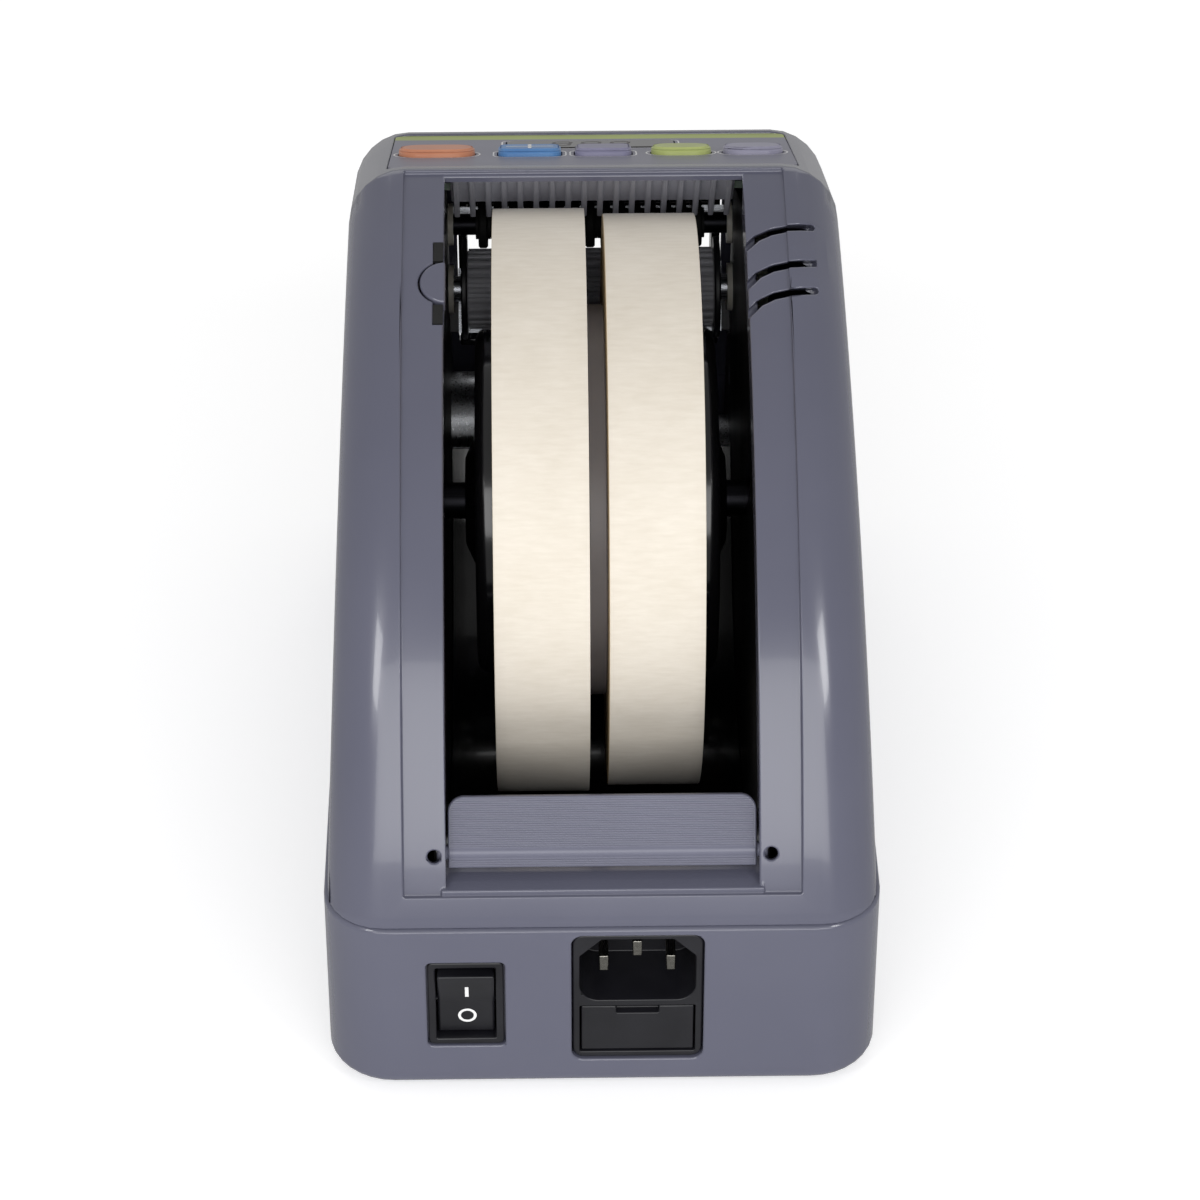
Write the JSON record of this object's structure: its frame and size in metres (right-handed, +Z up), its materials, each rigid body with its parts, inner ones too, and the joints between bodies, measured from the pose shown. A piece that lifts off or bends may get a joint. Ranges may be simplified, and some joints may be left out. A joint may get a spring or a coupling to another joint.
{
  "type": "electric tape dispenser",
  "caption": "Counter-top electric tape dispenser with an open reel bay at the back, sloped key panel, motor-driven feed roller and guillotine blade, and a mains inlet with switch.",
  "frame": {"origin": "middle of the footprint, on the table under the rubber feet", "axes": "+X to the left seen from behind, +Y to the mains side at the back, +Z up"},
  "size_m": [0.116, 0.2113, 0.1478],
  "materials": {
    "case_abs": "semi-gloss moulded",
    "black_abs": "satin moulded",
    "black_steel": "satin powder coat",
    "steel": "ground",
    "brass": "turned",
    "rubber": "matt",
    "grey_plastic": "matt moulded",
    "gear_plastic": "moulded",
    "circuit_board": "solder resist",
    "panel_film": "printed film",
    "lens": "tinted",
    "masking_tape": "creped paper",
    "cardboard": "wound board",
    "key_orange": "moulded",
    "key_blue": "moulded",
    "key_grey": "moulded",
    "key_lime": "moulded",
    "key_plain": "moulded"
  },
  "bodies": {
    "housing": {"base_shell": "case_abs", "rubber_feet": "rubber", "case_screws": "steel", "upper_shell": "case_abs", "ribbed_tape_guide": "case_abs", "panel_foil": "panel_film", "display_lens": "lens", "display_module": "black_abs", "panel_board": "circuit_board", "tact_switches": "black_abs", "panel_screws": "steel", "left_frame": "black_steel", "right_frame": "black_steel", "frame_screws": "steel", "frame_tie_rods": "steel", "shaft_bushes": "brass", "bay_tray": "black_abs", "front_nose": "black_abs", "blade_bar": "steel", "fixed_blade": "steel", "cutter_motor": "steel", "crank_bracket": "steel", "feed_motor": "steel", "idler_stud": "steel", "main_board": "circuit_board", "board_parts": "black_abs", "power_inlet": "black_abs", "inlet_pins": "brass", "switch_frame": "black_abs"},
    "reel": {"reel_axle": "steel", "reel_drum": "black_abs", "reel_cap_left": "black_abs", "reel_cap_right": "black_abs", "spacer_ring": "grey_plastic", "tape_roll_left": "masking_tape", "tape_core_left": "cardboard", "tape_roll_right": "masking_tape", "tape_core_right": "cardboard"},
    "feed_roller": {"drum_gear": "gear_plastic", "drum_shaft": "steel", "feed_drum": "grey_plastic"},
    "pinch_roller": {"roller_gear": "gear_plastic", "roller_shaft": "steel", "roller_rings": "rubber"},
    "idler": {"idler_gear": "gear_plastic"},
    "feed_drive": {"feed_pinion": "gear_plastic"},
    "crank": {"crank_gear": "gear_plastic"},
    "cutter_drive": {"cutter_pinion": "gear_plastic"},
    "blade": {"moving_blade": "steel", "blade_carriage": "black_abs"},
    "flap": {"rear_flap": "case_abs"},
    "latch": {"rail_latch": "case_abs"},
    "rocker": {"switch_rocker": "black_abs"},
    "fuse": {"fuse_drawer": "black_abs"},
    "key_orange": {"orange_key": "key_orange"},
    "key_blue": {"blue_key": "key_blue"},
    "key_grey": {"grey_key": "key_grey"},
    "key_lime": {"lime_key": "key_lime"},
    "key_plain": {"plain_key": "key_plain"}
  },
  "joints": [
    {"name": "reel_spin", "type": "hinge", "parent": "housing", "child": "reel", "pos_m": [0, 0.00312, 0.08135], "axis": [1, 0, 0], "continuous": true},
    {"name": "drum_spin", "type": "hinge", "parent": "housing", "child": "feed_roller", "pos_m": [0, -0.07297, 0.08774], "axis": [1, 0, 0], "continuous": true},
    {"name": "pinch_spin", "type": "hinge", "parent": "housing", "child": "pinch_roller", "pos_m": [0, -0.08092, 0.10046], "axis": [1, 0, 0], "continuous": true},
    {"name": "idler_spin", "type": "hinge", "parent": "housing", "child": "idler", "pos_m": [0, -0.07679, 0.06051], "axis": [1, 0, 0], "continuous": true},
    {"name": "feed_pinion_spin", "type": "hinge", "parent": "housing", "child": "feed_drive", "pos_m": [0, -0.07345, 0.03674], "axis": [1, 0, 0], "continuous": true},
    {"name": "crank_turn", "type": "hinge", "parent": "housing", "child": "crank", "pos_m": [0, -0.07915, 0.0682], "axis": [1, 0, 0], "range_deg": [-20, 200]},
    {"name": "cutter_pinion_spin", "type": "hinge", "parent": "housing", "child": "cutter_drive", "pos_m": [0, -0.07732, 0.04728], "axis": [1, 0, 0], "range_deg": [-510, 60]},
    {"name": "blade_slide", "type": "slide", "parent": "housing", "child": "blade", "axis": [0, -0.5299, 0.848], "range_m": [0, 0.0084]},
    {"name": "flap_swing", "type": "hinge", "parent": "housing", "child": "flap", "pos_m": [0, 0.09388, 0.05696], "axis": [-1, 0, 0], "range_deg": [0, 95]},
    {"name": "latch_press", "type": "slide", "parent": "housing", "child": "latch", "axis": [0, -0.327, -0.945], "range_m": [0, 0.002], "stiffness_N_per_m": 200},
    {"name": "rocker_tilt", "type": "hinge", "parent": "housing", "child": "rocker", "pos_m": [0.0286, 0.102, 0.0247], "axis": [1, 0, 0], "range_deg": [0, 20]},
    {"name": "fuse_pull", "type": "slide", "parent": "housing", "child": "fuse", "axis": [0, 1, 0], "range_m": [0, 0.014]},
    {"name": "orange_press", "type": "slide", "parent": "housing", "child": "key_orange", "axis": [0, 0.4067, -0.9135], "range_m": [0, 0.0008], "stiffness_N_per_m": 300},
    {"name": "blue_press", "type": "slide", "parent": "housing", "child": "key_blue", "axis": [0, 0.4067, -0.9135], "range_m": [0, 0.0008], "stiffness_N_per_m": 300},
    {"name": "grey_press", "type": "slide", "parent": "housing", "child": "key_grey", "axis": [0, 0.4067, -0.9135], "range_m": [0, 0.0008], "stiffness_N_per_m": 300},
    {"name": "lime_press", "type": "slide", "parent": "housing", "child": "key_lime", "axis": [0, 0.4067, -0.9135], "range_m": [0, 0.0008], "stiffness_N_per_m": 300},
    {"name": "plain_press", "type": "slide", "parent": "housing", "child": "key_plain", "axis": [0, 0.4067, -0.9135], "range_m": [0, 0.0008], "stiffness_N_per_m": 300}
  ],
  "couplings": [
    {"joint": "pinch_spin", "follows": "drum_spin", "ratio": -1.7273},
    {"joint": "idler_spin", "follows": "drum_spin", "ratio": -0.52778},
    {"joint": "feed_pinion_spin", "follows": "drum_spin", "ratio": 1.5833},
    {"joint": "crank_turn", "follows": "blade_slide", "rad_per_m": 374},
    {"joint": "cutter_pinion_spin", "follows": "blade_slide", "rad_per_m": -935}
  ]
}
